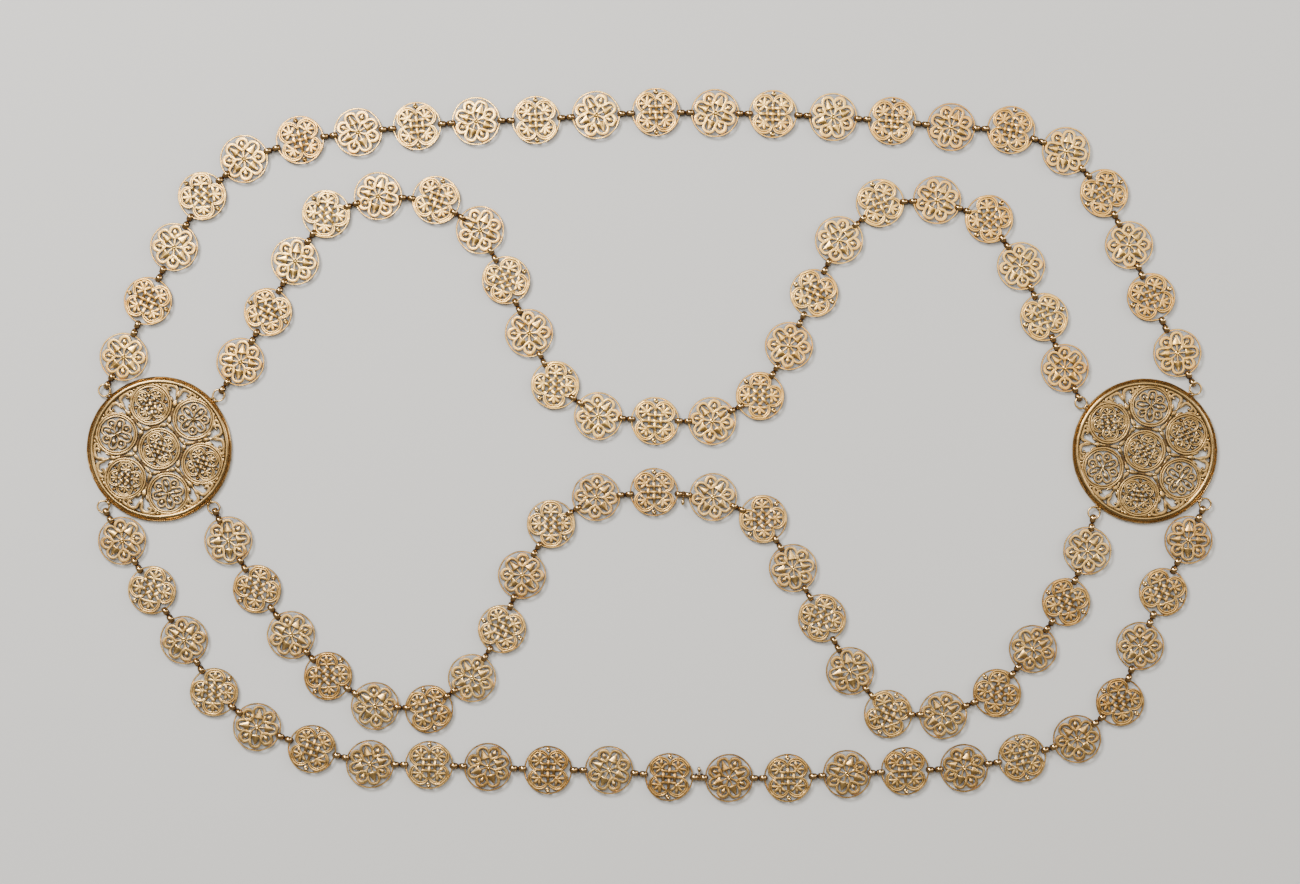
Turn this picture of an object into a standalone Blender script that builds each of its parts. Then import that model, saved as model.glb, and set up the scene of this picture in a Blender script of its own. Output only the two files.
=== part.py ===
"""Body chain: two large pierced discs joined by four chains of small pierced medallions, laid out flat."""

import math

import bmesh
import bpy
from mathutils import Matrix, Vector

# Large discs, in metres
disc_diameter = 0.076
disc_rim_width = 0.004
disc_rim_height = 0.003
disc_lip_height = 0.0022
disc_groove_height = 0.0018
disc_plate_thickness = 0.0012
disc_sides = 24

# Small medallions
medallion_diameter = 0.0254
medallion_thickness = 0.001
medallion_rim = 0.0009
medallion_sides = 10

# Links, each with an eye round the rim of a medallion at both ends
link_length = 0.0096
link_width = 0.0028
link_height = 0.0048
link_bend = 0.0022
eye_wall = 0.0007
eye_hole_height = 0.0026

# Attachment rings and the lugs that hold them
ring_diameter = 0.007
ring_wire = 0.001
ring_sides = 10
wire_sides = 5
lug_width = 0.0016
lug_wall = 0.0005

# Clasps in the middle of the two lower chains
pin_diameter = 0.001
pin_head_diameter = 0.0018
pin_head_length = 0.0024
pin_neck_length = 0.0016
pin_sides = 8
knuckle_wall = 0.0007
knuckle_arm = 0.0012

clearance = 0.0003
overlap = 0.0004

# The gaps in a large disc's plate, as shares of its radius inside the rim
roundel_reach = 0.697
rosette_gap = {"near": 0.052, "far": 0.144, "width": 0.08}
knot_gap = {"near": 0.126, "far": 0.23, "width": 0.115}
spandrel_gap = {"near": 0.828, "far": 0.952, "width": 0.124}
spandrel_turn = 6

# Other shares of the sizes above
link_gap_width_share = 0.355
link_gap_depth_share = 0.197
plate_height_share = 0.4
lip_step_share = 0.6
pin_head_shape = [(0, 1), (0.8, 0.65), (1, 0.3)]

# The photograph's pixels, which place the discs and medallions as they lie
medallion_pixels = 48.5
disc_pixels = 145.1
picture_centre = (652, 446)
disc_places = {"left": (159, 449), "right": (1145, 451)}
knot_turns = {"left": -19, "right": 22}
chain_places = {
    "upper_outer": [
        (148, 301), (174, 247), (202, 196), (244, 159), (300, 140), (358, 132), (417, 126),
        (476, 121), (536, 120), (596, 115), (656, 112), (715, 113), (773, 114), (833, 117),
        (892, 121), (951, 127), (1011, 130), (1066, 151), (1104, 193), (1129, 245), (1151, 297),
    ],
    "upper_inner": [
        (268, 312), (295, 261), (326, 214), (378, 196), (436, 200), (480, 230), (506, 280),
        (529, 333), (555, 385), (598, 416), (655, 421), (712, 421), (760, 396), (789, 346),
        (814, 293), (839, 240), (880, 203), (937, 200), (989, 219), (1021, 266), (1044, 317),
    ],
    "lower_inner": [
        (257, 589), (291, 635), (328, 676), (375, 706), (429, 709), (472, 678), (502, 629),
        (522, 575), (551, 524), (596, 497), (654, 492), (713, 497), (763, 519), (793, 568),
        (822, 618), (850, 671), (888, 714), (943, 715), (997, 693), (1033, 649), (1066, 602),
    ],
    "lower_outer": [
        (152, 590), (184, 640), (214, 692), (257, 727), (312, 749), (370, 764), (429, 765),
        (488, 767), (548, 770), (609, 770), (669, 777), (729, 778), (788, 778), (847, 774),
        (905, 771), (964, 768), (1022, 758), (1077, 739), (1120, 702), (1140, 646), (1163, 592),
    ],
}
# Where each chain meets the discs: the ring's angle on its disc, the way from the ring to the
# nearest medallion, and the play between them as a share of the link's length
chain_ends = {
    "upper_outer": {
        "left": {"ring_angle": 133, "heading": 60, "play": 0.43},
        "right": {"ring_angle": 51, "heading": 117, "play": 0.50},
    },
    "upper_inner": {
        "left": {"ring_angle": 42, "heading": 57, "play": 0.49},
        "right": {"ring_angle": 143, "heading": 115, "play": 0.40},
    },
    "lower_inner": {
        "left": {"ring_angle": -47, "heading": -66, "play": 0.27},
        "right": {"ring_angle": -129.5, "heading": -100, "play": 0.41},
    },
    "lower_outer": {
        "left": {"ring_angle": -134, "heading": -61, "play": 0.43},
        "right": {"ring_angle": -41.5, "heading": -115, "play": 0.46},
    },
}
clasp_sides = {"lower_inner": -1, "lower_outer": 1}

# Worked out from the sizes above
pixel = medallion_diameter / medallion_pixels
middle_height = link_height / 2
ring_radius = (ring_diameter - ring_wire) / 2
pin_hole = pin_diameter / 2 + clearance
knuckle_radius = pin_hole + knuckle_wall
knuckle_width = (link_width + 2 * overlap - 2 * clearance) / 3
knuckle_step = knuckle_width + clearance
plate_radius = disc_diameter / 2 - disc_rim_width

scene = bpy.context.scene


def corner_radius(diameter, sides):
    """Radius to the corners of a polygon with the same area as a circle."""
    turn = 2 * math.pi / sides
    return diameter / 2 * math.sqrt(turn / math.sin(turn))


def flat_radius(diameter, sides):
    """Radius to the flats of that polygon."""
    return corner_radius(diameter, sides) * math.cos(math.pi / sides)


def toward(degrees):
    return Vector((math.cos(math.radians(degrees)), math.sin(math.radians(degrees))))


def placed(outline, centre, degrees):
    """The outline turned about its own origin, then moved to a centre."""
    along = toward(degrees)
    across = Vector((-along.y, along.x))
    return [centre + along * x + across * y for x, y in outline]


def polygon(diameter, sides):
    """A polygon with a flat side at +X."""
    radius = corner_radius(diameter, sides)
    return [radius * toward(360 / sides * (step + 0.5)) for step in range(sides)]


def wedge(near, far, width):
    """A triangular gap with its tip toward the centre."""
    return [(near, 0), (far, -width / 2), (far, width / 2)]


def box_outline(length, width, centre=0):
    half = width / 2
    return [
        (centre - length / 2, -half), (centre + length / 2, -half),
        (centre + length / 2, half), (centre - length / 2, half),
    ]


def on_picture(place):
    """A pixel of the photograph as a point on the ground."""
    x, y = place
    return Vector((x - picture_centre[0], picture_centre[1] - y)) * pixel


def outline_mesh(name, outlines, thickness):
    """Closed mesh of flat outlines, with the inner ones as holes, half its thickness either side."""
    curve = bpy.data.curves.new(name, "CURVE")
    curve.dimensions = "2D"
    curve.fill_mode = "BOTH"
    curve.extrude = thickness / 2
    for outline in outlines:
        spline = curve.splines.new("POLY")
        spline.points.add(len(outline) - 1)
        spline.use_cyclic_u = True
        for point, place in zip(spline.points, outline):
            point.co = (place[0], place[1], 0, 1)
    drawn = bpy.data.objects.new(name, curve)
    scene.collection.objects.link(drawn)
    graph = bpy.context.evaluated_depsgraph_get()
    mesh = bpy.data.meshes.new_from_object(drawn.evaluated_get(graph))
    bpy.data.objects.remove(drawn)
    shape = bmesh.new()
    shape.from_mesh(mesh)
    bmesh.ops.remove_doubles(shape, verts=shape.verts, dist=1e-6)
    bmesh.ops.dissolve_limit(shape, angle_limit=0.01, verts=shape.verts, edges=shape.edges)
    shape.to_mesh(mesh)
    shape.free()
    return mesh


def joined_mesh(name, pieces):
    """One mesh from (mesh, matrix) pairs."""
    shape = bmesh.new()
    for mesh, matrix in pieces:
        copy = mesh.copy()
        copy.transform(matrix)
        shape.from_mesh(copy)
        bpy.data.meshes.remove(copy)
    mesh = bpy.data.meshes.new(name)
    shape.to_mesh(mesh)
    shape.free()
    return mesh


def upright(centre, degrees):
    """Stands an outline's side view on the ground, along a heading."""
    place = Matrix.Translation((centre.x, centre.y, middle_height))
    return place @ Matrix.Rotation(math.radians(degrees), 4, "Z") @ Matrix.Rotation(math.pi / 2, 4, "X")


def new_object(name, mesh, material):
    made = bpy.data.objects.new(name, mesh)
    mesh.materials.clear()
    mesh.materials.append(material)
    mesh.shade_smooth()
    mesh.set_sharp_from_angle(angle=math.radians(30))
    part_collection.objects.link(made)
    return made


def add_union(body, mesh):
    """Fuses a mesh into a body."""
    helper = bpy.data.objects.new(body.name + "_fused", mesh)
    helper.hide_render = True
    helper.display_type = "WIRE"
    helper_collection.objects.link(helper)
    union = body.modifiers.new("Fuse", "BOOLEAN")
    union.operation = "UNION"
    union.object = helper
    return helper


def add_flat_dissolve(body):
    """Merges the flat facets that the fusing cut up."""
    dissolve = body.modifiers.new("Dissolve", "DECIMATE")
    dissolve.decimate_type = "DISSOLVE"
    dissolve.angle_limit = math.radians(0.2)


def metal(name, colour, roughness):
    material = bpy.data.materials.new(name)
    material.use_nodes = True
    shader = material.node_tree.nodes["Principled BSDF"]
    shader.inputs["Base Color"].default_value = (*colour, 1)
    shader.inputs["Metallic"].default_value = 1
    shader.inputs["Roughness"].default_value = roughness
    return material


def heading_of(way):
    return math.degrees(math.atan2(way.y, way.x))


def ring_centre(chain, side):
    end = chain_ends[chain][side]
    seat = corner_radius(disc_diameter, disc_sides) + clearance + ring_wire / 2
    return on_picture(disc_places[side]) + toward(end["ring_angle"]) * (seat + ring_radius)


def end_shift(chain, side):
    """How far the chain's end moves out when the discs are larger than in the photograph."""
    return toward(chain_ends[chain][side]["ring_angle"]) * (disc_diameter - disc_pixels * pixel) / 2


def medallion_places(chain):
    """Centres of a chain's medallions, left to right. The end ones hang on their rings."""
    ends = {}
    for side, end in chain_ends[chain].items():
        reach = (medallion_diameter + ring_diameter) / 2 + end["play"] * link_length
        ends[side] = ring_centre(chain, side) + toward(end["heading"]) * reach
    laid = [on_picture(place) for place in chain_places[chain]]
    for step, place in enumerate(laid, 1):
        place += end_shift(chain, "left").lerp(end_shift(chain, "right"), step / (len(laid) + 1))
    return [ends["left"], *laid, ends["right"]]


def medallion_headings(chain, places):
    """Each medallion lies along the mean of the ways to its two neighbours."""
    stops = [ring_centre(chain, "left"), *places, ring_centre(chain, "right")]
    ways = [(after - before).normalized() for before, after in zip(stops, stops[1:])]
    return [heading_of(before + after) for before, after in zip(ways, ways[1:])]


def medallion_outlines(centre, heading):
    """A small medallion's edge and the two gaps that the links hook into."""
    far = flat_radius(medallion_diameter, medallion_sides) - medallion_rim
    outlines = [placed(polygon(medallion_diameter, medallion_sides), centre, heading)]
    for turn in (0, 180):
        depth = medallion_diameter * link_gap_depth_share
        gap = wedge(far - depth, far, medallion_diameter * link_gap_width_share)
        outlines.append(placed(gap, centre, heading + turn))
    return outlines


def link_outline(length, open_eye):
    """Side view of a link. An open eye ends it at +X, with room for a ring or rim to pass."""
    half = length / 2
    top = link_height / 2
    bend = half - link_bend
    outline = [(-half, 0), (-bend, -top)]
    if open_eye:
        nose = link_bend / 2
        outline += [(half - nose, -top), (half, -nose), (half, nose), (half - nose, top)]
    else:
        outline += [(bend, -top), (half, 0), (bend, top)]
    return [*outline, (-bend, top)]


def eye_hole(length):
    """The hole of an open eye."""
    depth = link_height - 2 * eye_wall
    return box_outline(depth, eye_hole_height, length / 2 - eye_wall - depth / 2)


def link_run(start, start_reach, end, end_reach, room):
    """Middle, heading and length of the link that spans two rims, given how far out each one is."""
    way = (end - start).normalized()
    near = start + way * start_reach
    far = end - way * end_reach
    length = max(link_length, (far - near).length + medallion_rim + 2 * (eye_wall + room))
    return (near + far) / 2, heading_of(way), length


def closed_link(start, end):
    """A link between two medallions of the same node, fused to both rims."""
    centre, heading, length = link_run(start, rim_reach, end, rim_reach, 0)
    return outline_mesh("link", [link_outline(length, False)], link_width), upright(centre, heading)


def open_link(start, end, end_reach):
    """A link fused to one medallion, whose open eye goes round a ring or another node's rim."""
    centre, heading, length = link_run(start, rim_reach, end, end_reach, clearance)
    outlines = [link_outline(length, True), eye_hole(length)]
    return outline_mesh("link", outlines, link_width), upright(centre, heading)


def knuckle_outlines(length):
    """Side view of half a clasp: an arm from a rim to a drilled knuckle at the origin."""
    half = length / 2
    turn = [knuckle_radius * toward(step) for step in (-90, -30, 30, 90)]
    hole = [pin_hole / math.cos(math.pi / 6) * toward(60 * step) for step in range(6)]
    return [[(-half, -knuckle_arm / 2), *turn, (-half, knuckle_arm / 2)], hole]


def clasp_halves(start, end):
    """The tongue on the left medallion, the two cheeks on the right one, and the pin's line."""
    centre, heading, length = link_run(start, rim_reach, end, rim_reach, 0)
    outlines = knuckle_outlines(length)
    tongue = [(outline_mesh("tongue", outlines, knuckle_width), upright(centre, heading))]
    cheeks = []
    for side in (-1, 1):
        offset = Matrix.Translation((0, 0, side * knuckle_step))
        mesh = outline_mesh("cheek", outlines, knuckle_width)
        cheeks.append((mesh, upright(centre, heading + 180) @ offset))
    return tongue, cheeks, centre, heading


def chain_half(name, places, headings, links, material):
    """One node: some medallions and the links fused to them."""
    outlines = []
    for centre, heading in zip(places, headings):
        outlines += medallion_outlines(centre, heading)
    plates = outline_mesh(name, outlines, medallion_thickness)
    plates.transform(Matrix.Translation((0, 0, middle_height)))
    body = new_object(name, plates, material)
    add_union(body, joined_mesh(name + "_links", links))
    add_flat_dissolve(body)
    return body


def make_chain(chain, material):
    """A chain as two nodes that meet in its middle, at a clasp or at an open eye."""
    places = medallion_places(chain)
    headings = medallion_headings(chain, places)
    middle = (len(places) + 1) // 2
    left = [closed_link(*pair) for pair in zip(places[:middle], places[1:middle])]
    right = [closed_link(*pair) for pair in zip(places[middle:], places[middle + 1:])]
    left.append(open_link(places[0], ring_centre(chain, "left"), ring_radius))
    right.append(open_link(places[-1], ring_centre(chain, "right"), ring_radius))
    if chain in clasp_sides:
        tongue, cheeks, centre, heading = clasp_halves(places[middle - 1], places[middle])
        left += tongue
        right += cheeks
        make_pin(chain, centre, heading + 90 * clasp_sides[chain])
    else:
        right.append(open_link(places[middle], places[middle - 1], rim_reach))
    chain_half(chain + "_chain_left", places[:middle], headings[:middle], left, material)
    chain_half(chain + "_chain_right", places[middle:], headings[middle:], right, material)


def turned_object(name, profile, sides, material, closed):
    """A profile of (radius, height) points turned round Z."""
    shape = bmesh.new()
    verts = [shape.verts.new((radius, 0, height)) for radius, height in profile]
    pairs = list(zip(verts, verts[1:]))
    if closed:
        pairs.append((verts[-1], verts[0]))
    for pair in pairs:
        shape.edges.new(pair)
    mesh = bpy.data.meshes.new(name)
    shape.to_mesh(mesh)
    shape.free()
    made = new_object(name, mesh, material)
    screw = made.modifiers.new("Turn", "SCREW")
    screw.steps = screw.render_steps = sides
    screw.use_merge_vertices = True
    screw.merge_threshold = 1e-5
    screw.use_smooth_shade = True
    return made


def make_pin(chain, centre, heading):
    """A clasp's pin, its drop-shaped head out to one side."""
    half_width = knuckle_step + knuckle_width / 2
    shaft = pin_diameter / 2
    head = pin_head_diameter / 2
    neck = half_width + pin_neck_length
    profile = [
        *((head * out, neck + pin_head_length * along) for out, along in pin_head_shape),
        (shaft, neck), (shaft, -half_width - clearance), (0, -half_width - clearance),
    ]
    pin = turned_object("clasp_pin_" + chain, profile, pin_sides, dark_gold, False)
    pin.rotation_euler = (0, math.pi / 2, math.radians(heading))
    pin.location = (centre.x, centre.y, middle_height)


def make_ring(chain, side):
    """A wire ring that lies flat beside the disc, through its lug and the end link's eye."""
    bpy.ops.mesh.primitive_torus_add(
        major_segments=ring_sides, minor_segments=wire_sides, major_radius=ring_radius,
        minor_radius=ring_wire / 2,
    )
    made = bpy.context.object
    made.name = made.data.name = "ring_" + chain + "_" + side
    made.data.materials.append(dark_gold)
    made.data.shade_smooth()
    for owner in made.users_collection:
        owner.objects.unlink(made)
    part_collection.objects.link(made)
    centre = ring_centre(chain, side)
    made.location = (centre.x, centre.y, middle_height)
    made.rotation_euler.z = math.radians(chain_ends[chain][side]["ring_angle"])


def lug(chain, side):
    """A lug on a disc's edge, drilled for its ring."""
    angle = chain_ends[chain][side]["ring_angle"]
    edge = corner_radius(disc_diameter, disc_sides)
    hole_width = ring_wire + 2 * clearance
    seat = edge + clearance + ring_wire / 2
    sag = lug_width ** 2 / 8 / ring_radius
    far = seat + hole_width / 2 + sag + lug_wall
    near = edge - disc_rim_width / 3
    outline = box_outline(far - near, hole_width + 2 * lug_wall, (far + near) / 2)
    hole = box_outline(hole_width + sag, hole_width, seat + sag / 2)
    mesh = outline_mesh("lug", [outline, hole], lug_width)
    return mesh, upright(Vector((0, 0)), angle)


def disc_gaps(side):
    """Gaps through a large disc's plate: rosettes, knots, and pairs of gaps along the rim."""
    gaps = []
    for step in range(6):
        angle = knot_turns[side] + 60 * step
        centre = plate_radius * roundel_reach * toward(angle)
        gaps += ring_of_gaps(centre, angle, *((8, rosette_gap) if step % 2 else (4, knot_gap)))
        for turn in (angle + 30 - spandrel_turn, angle + 30 + spandrel_turn):
            gaps.append(placed(disc_gap(spandrel_gap), Vector((0, 0)), turn))
    return gaps + ring_of_gaps(Vector((0, 0)), knot_turns[side], 4, knot_gap)


def disc_gap(shares):
    return wedge(*(plate_radius * shares[key] for key in ("near", "far", "width")))


def ring_of_gaps(centre, degrees, count, shares):
    """Equal gaps round the middle of a roundel, the first one half a step from its angle."""
    turns = [degrees + 360 / count * (step + 0.5) for step in range(count)]
    return [placed(disc_gap(shares), centre, turn) for turn in turns]


def make_disc(side, material):
    """A large disc: turned rim, pierced plate and four lugs in one solid."""
    edge = corner_radius(disc_diameter, disc_sides)
    band = edge - disc_rim_width
    profile = [
        (edge, disc_lip_height), (edge, 0), (band, 0), (band, disc_rim_height),
        (band + disc_rim_width * lip_step_share, disc_groove_height),
    ]
    body = turned_object("large_disc_" + side, profile, disc_sides, material, True)
    centre = on_picture(disc_places[side])
    body.location = (centre.x, centre.y, 0)
    outlines = [polygon(2 * (band + overlap), disc_sides), *disc_gaps(side)]
    plate = outline_mesh("plate", outlines, disc_plate_thickness)
    plate.transform(Matrix.Translation((0, 0, disc_rim_height * plate_height_share)))
    lugs = joined_mesh("lugs", [lug(chain, side) for chain in chain_ends])
    for mesh in (plate, lugs):
        add_union(body, mesh).location = body.location
    add_flat_dissolve(body)


def stand_on_origin():
    """Moves the whole so that the middle of its underside is at the origin."""
    bpy.context.view_layer.update()
    graph = bpy.context.evaluated_depsgraph_get()
    corners = [
        made.matrix_world @ Vector(corner)
        for made in part_collection.objects
        for corner in made.evaluated_get(graph).bound_box
    ]
    for axis in (0, 1):
        middle = (min(corner[axis] for corner in corners) + max(corner[axis] for corner in corners)) / 2
        for made in [*part_collection.objects, *helper_collection.objects]:
            made.location[axis] -= middle


for old in list(bpy.data.objects):
    bpy.data.objects.remove(old)
part_collection = bpy.data.collections.new("body_chain")
helper_collection = bpy.data.collections.new("fused_pieces")
scene.collection.children.link(part_collection)
scene.collection.children.link(helper_collection)
gold = metal("gold", (0.83, 0.66, 0.4), 0.32)
dark_gold = metal("dark_gold", (0.62, 0.45, 0.25), 0.38)
rim_reach = flat_radius(medallion_diameter, medallion_sides) - medallion_rim / 2

for side in disc_places:
    make_disc(side, gold)
for chain in chain_ends:
    make_chain(chain, gold)
    for side in disc_places:
        make_ring(chain, side)
stand_on_origin()
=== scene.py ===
import math
import bpy
import numpy as np
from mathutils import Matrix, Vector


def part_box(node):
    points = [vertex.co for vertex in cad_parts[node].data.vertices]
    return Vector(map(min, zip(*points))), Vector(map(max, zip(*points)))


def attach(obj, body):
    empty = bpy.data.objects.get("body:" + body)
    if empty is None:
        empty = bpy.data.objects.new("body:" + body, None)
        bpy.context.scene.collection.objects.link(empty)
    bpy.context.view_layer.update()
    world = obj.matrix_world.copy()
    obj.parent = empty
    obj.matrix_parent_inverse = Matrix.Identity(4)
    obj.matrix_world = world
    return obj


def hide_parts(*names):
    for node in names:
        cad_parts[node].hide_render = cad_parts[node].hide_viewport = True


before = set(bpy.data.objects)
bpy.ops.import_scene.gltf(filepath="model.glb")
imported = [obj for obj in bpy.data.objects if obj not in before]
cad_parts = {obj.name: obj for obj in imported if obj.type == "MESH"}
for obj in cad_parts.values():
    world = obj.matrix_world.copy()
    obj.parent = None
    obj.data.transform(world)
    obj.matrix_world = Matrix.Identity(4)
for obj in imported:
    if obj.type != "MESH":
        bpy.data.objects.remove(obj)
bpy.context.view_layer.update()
random = np.random.default_rng(7)
# Shapes are worked out in millimetres, and addPiece turns them into metres

# ---- where things lie: pixels of the photograph, at the size that the part gives them
layout = {
    "pixel": 25.4 / 48.5,  # mm
    "centre": (652, 446),
    "discs": {"left": (159, 449), "right": (1145, 451)},
    "knotTurns": {"left": -19, "right": 22},  # the first outer knot's angle on each disc
    "ringReach": 41.75,  # mm from a disc's middle to a wire ring's
    "middleHeight": 2.4,  # mm, for medallions, links, rings and pins alike
    "leftCount": 12,  # medallions in a chain's left half
}
# "stops" are the middles of the medallions between the two end ones, and "play" is the end link's slack
# as a share of its length
chains = {
    "upper_outer": {
        "stops": [
            (148, 301), (174, 247), (202, 196), (244, 159), (300, 140), (358, 132), (417, 126),
            (476, 121), (536, 120), (596, 115), (656, 112), (715, 113), (773, 114), (833, 117),
            (892, 121), (951, 127), (1011, 130), (1066, 151), (1104, 193), (1129, 245), (1151, 297),
        ],
        "petals": "110010101001",
        "left": {"ringAngle": 133, "heading": 60, "play": 0.43},
        "right": {"ringAngle": 51, "heading": 117, "play": 0.50},
    },
    "upper_inner": {
        "stops": [
            (268, 312), (295, 261), (326, 214), (378, 196), (436, 200), (480, 230), (506, 280),
            (529, 333), (555, 385), (598, 416), (655, 421), (712, 421), (760, 396), (789, 346),
            (814, 293), (839, 240), (880, 203), (937, 200), (989, 219), (1021, 266), (1044, 317),
        ],
        "petals": "001001011100",
        "left": {"ringAngle": 42, "heading": 57, "play": 0.49},
        "right": {"ringAngle": 143, "heading": 115, "play": 0.40},
    },
    "lower_inner": {
        "stops": [
            (257, 589), (291, 635), (328, 676), (375, 706), (429, 709), (472, 678), (502, 629),
            (522, 575), (551, 524), (596, 497), (654, 492), (713, 497), (763, 519), (793, 568),
            (822, 618), (850, 671), (888, 714), (943, 715), (997, 693), (1033, 649), (1066, 602),
        ],
        "petals": "101110111011",
        "left": {"ringAngle": -47, "heading": -66, "play": 0.27},
        "right": {"ringAngle": -129.5, "heading": -100, "play": 0.41},
        "pinSide": -1,
    },
    "lower_outer": {
        "stops": [
            (152, 590), (184, 640), (214, 692), (257, 727), (312, 749), (370, 764), (429, 765),
            (488, 767), (548, 770), (609, 770), (669, 777), (729, 778), (788, 778), (847, 774),
            (905, 771), (964, 768), (1022, 758), (1077, 739), (1120, 702), (1140, 646), (1163, 592),
        ],
        "petals": "000001011010",
        "left": {"ringAngle": -134, "heading": -61, "play": 0.43},
        "right": {"ringAngle": -41.5, "heading": -115, "play": 0.46},
        "pinSide": 1,
    },
}


# ---- small helpers for points and headings
def toward(degrees):
    turn = np.radians(degrees)
    return np.stack([np.cos(turn), np.sin(turn)], -1)


# Points from (reach, angle): (reach cos(angle), reach sin(angle))
def polar(stations):
    reach, turn = np.array(stations, float).T
    return reach[:, None] * toward(turn)


# A pixel of the photograph, in millimetres from the middle of the whole
def onPicture(place):
    across, down = place
    return np.array([across - layout["centre"][0], layout["centre"][1] - down]) * layout["pixel"]


def headingOf(way):
    return math.degrees(math.atan2(way[1], way[0]))


def unit(way):
    return way / np.linalg.norm(way)


# A smooth curve through stations: each span is the cubic whose slopes at its ends are half the way
# between the stations on either side
def smoothPath(stations, spanSteps=6, closed=False):
    stations = np.array(stations, float)
    if closed:
        stations = np.concatenate([stations[-1:], stations, stations[:2]])
    else:
        first = 2 * stations[:1] - stations[1:2]
        last = 2 * stations[-1:] - stations[-2:-1]
        stations = np.concatenate([first, stations, last])
    before, start, end, after = stations[:-3], stations[1:-2], stations[2:-1], stations[3:]
    share = (np.arange(spanSteps) / spanSteps)[:, None, None]
    path = 0.5 * (
        2 * start + (end - before) * share + (2 * before - 5 * start + 4 * end - after) * share ** 2
        + (3 * start - before - 3 * end + after) * share ** 3
    )
    path = path.transpose(1, 0, 2).reshape(-1, stations.shape[1])
    return np.concatenate([path, path[:1] if closed else stations[-2:-1]])


# ---- surfaces on a two-way grid of rows and columns, closed one or both ways: each cell is the
# triangles abc and acd
def gridTriangles(rows, columns, closeRows, closeColumns):
    row, column = np.meshgrid(
        np.arange(rows if closeRows else rows - 1),
        np.arange(columns if closeColumns else columns - 1),
        indexing="ij",
    )
    nextRow, nextColumn = (row + 1) % rows, (column + 1) % columns
    a, b = row * columns + column, nextRow * columns + column
    c, d = nextRow * columns + nextColumn, row * columns + nextColumn
    return np.stack([a, b, c, a, c, d], 2).reshape(-1, 3)


# Triangles face outwards when the volumes a x b . c that they span with the origin sum to over zero
def facingOut(shape):
    points, triangles = shape
    a, b, c = points[triangles].transpose(1, 0, 2)
    volume = (np.cross(a, b) * c).sum()
    return points, triangles if volume > 0 else triangles[:, ::-1]


# A section of (radius, height) turned round Z: x = radius cos(turn), y = radius sin(turn)
def turnedShape(section, steps):
    section = np.array(section, float)
    turn = np.radians(np.arange(steps) * 360 / steps)[:, None]
    points = np.stack([
        section[:, 0] * np.cos(turn), section[:, 0] * np.sin(turn),
        np.broadcast_to(section[:, 1], (steps, len(section))),
    ], 2)
    return facingOut((points.reshape(-1, 3), gridTriangles(steps, len(section), True, True)))


# The same for a section whose first and last points are on the axis: each end is a fan
def turnedDrop(section, steps):
    section = np.array(section, float)
    points, _ = turnedShape(section[1:-1], steps)
    rows = len(section) - 2
    triangles = gridTriangles(steps, rows, True, False)
    ends = np.array([[0, 0, section[0, 1]], [0, 0, section[-1, 1]]])
    here = np.arange(steps)
    after = (here + 1) % steps
    firstCap = np.stack([np.full(steps, len(points)), after * rows, here * rows], 1)
    top = rows - 1
    lastCap = np.stack([np.full(steps, len(points) + 1), here * rows + top, after * rows + top], 1)
    return facingOut((np.concatenate([points, ends]), np.concatenate([triangles, firstCap, lastCap])))


# A sphere: the section is (radius cos(turn), radius sin(turn)) from pole to pole
def ball(radius, steps=12):
    turn = np.radians(np.linspace(-90, 90, steps // 2 + 1))
    return turnedDrop(np.stack([radius * np.cos(turn), radius * np.sin(turn)], 1), steps)


def joinShapes(shapes):
    points, triangles, count = [], [], 0
    for shapePoints, shapeTriangles in shapes:
        points.append(shapePoints)
        triangles.append(shapeTriangles + count)
        count += len(shapePoints)
    return np.concatenate(points), np.concatenate(triangles)


def moved(shape, offset):
    return shape[0] + np.array(offset, float), shape[1]


# Turns a shape so that its Z axis lies along an axis: "x" or "y"
def laidAlong(shape, axis):
    points, triangles = shape
    order = {"x": [2, 0, 1], "y": [1, 2, 0]}[axis]
    return points[:, order], triangles


# Copies of a shape: each is turned about Z to its heading, then moved to its place
def copies(shape, places, headings):
    points, triangles = shape
    turn = np.radians(np.array(headings, float))[:, None]
    cosine, sine = np.cos(turn), np.sin(turn)
    places = np.array(places, float)
    x = points[:, 0] * cosine - points[:, 1] * sine + places[:, :1]
    y = points[:, 0] * sine + points[:, 1] * cosine + places[:, 1:2]
    z = np.broadcast_to(points[:, 2], x.shape)
    every = triangles[None] + (np.arange(len(places)) * len(points))[:, None, None]
    return np.stack([x, y, z], 2).reshape(-1, 3), every.reshape(-1, 3)


# ---- hand work is never quite true: each of x, y and z shifts by reach * sum(sin(way . point + phase))
handWork = {
    "waves": 7,
    "shortest": 2.6,  # mm
    "longest": 9.0,
    "reach": 0.02,
    "upShare": 0.6,  # the height shifts less, and not at all on the floor
    "sharpAngle": 38,
}
waveWays = random.normal(size=(3, handWork["waves"], 3))
waveWays /= np.linalg.norm(waveWays, axis=2)[..., None]
waveLengths = random.uniform(handWork["shortest"], handWork["longest"], (3, handWork["waves"], 1))
waveWays *= 2 * np.pi / waveLengths
wavePhases = random.uniform(0, 2 * np.pi, (3, handWork["waves"]))


def uneven(points):
    waves = [np.sin(points @ ways.T + phases).sum(1) for ways, phases in zip(waveWays, wavePhases)]
    shift = np.stack(waves, 1)
    shift *= handWork["reach"] * np.array([1, 1, handWork["upShare"]])
    shift[:, 2] *= np.clip(points[:, 2], 0, 1)
    return points + shift


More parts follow.
